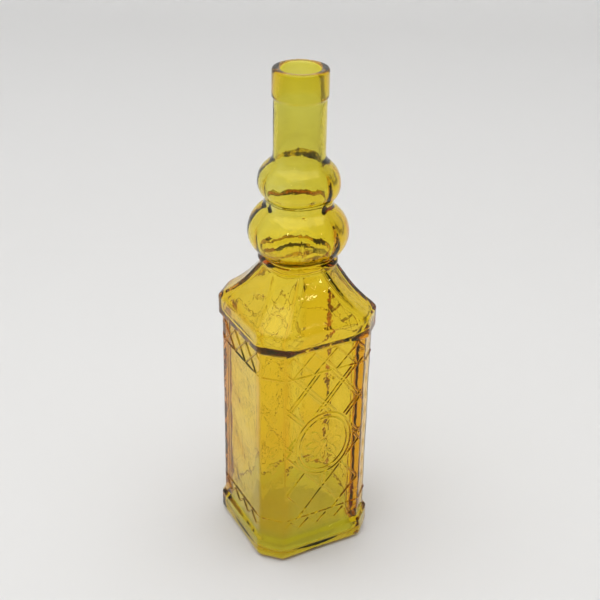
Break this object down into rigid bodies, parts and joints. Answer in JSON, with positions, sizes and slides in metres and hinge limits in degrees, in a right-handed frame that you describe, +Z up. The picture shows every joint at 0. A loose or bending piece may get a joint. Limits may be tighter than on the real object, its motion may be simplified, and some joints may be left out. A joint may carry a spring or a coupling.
{
  "type": "glass bottle",
  "caption": "Square amber glass bottle with canted corners, a ledge rim, a sloping shoulder, a double-bulb neck and an applied lip, for holding and pouring liquids",
  "frame": {"origin": "centre of the underside, on the plane of the table", "axes": "+Z up the bottle's axis to the mouth, +X and +Y square to two neighbouring panels"},
  "size_m": [0.0724, 0.0724, 0.28],
  "materials": {
    "amber_glass": "clear amber glass, smooth, slightly wavy from the mould",
    "lip_glass": "clear amber glass, tooled smooth while hot"
  },
  "bodies": {
    "root": {"bottle_body": "amber_glass", "applied_lip": "lip_glass"}
  },
  "joints": []
}
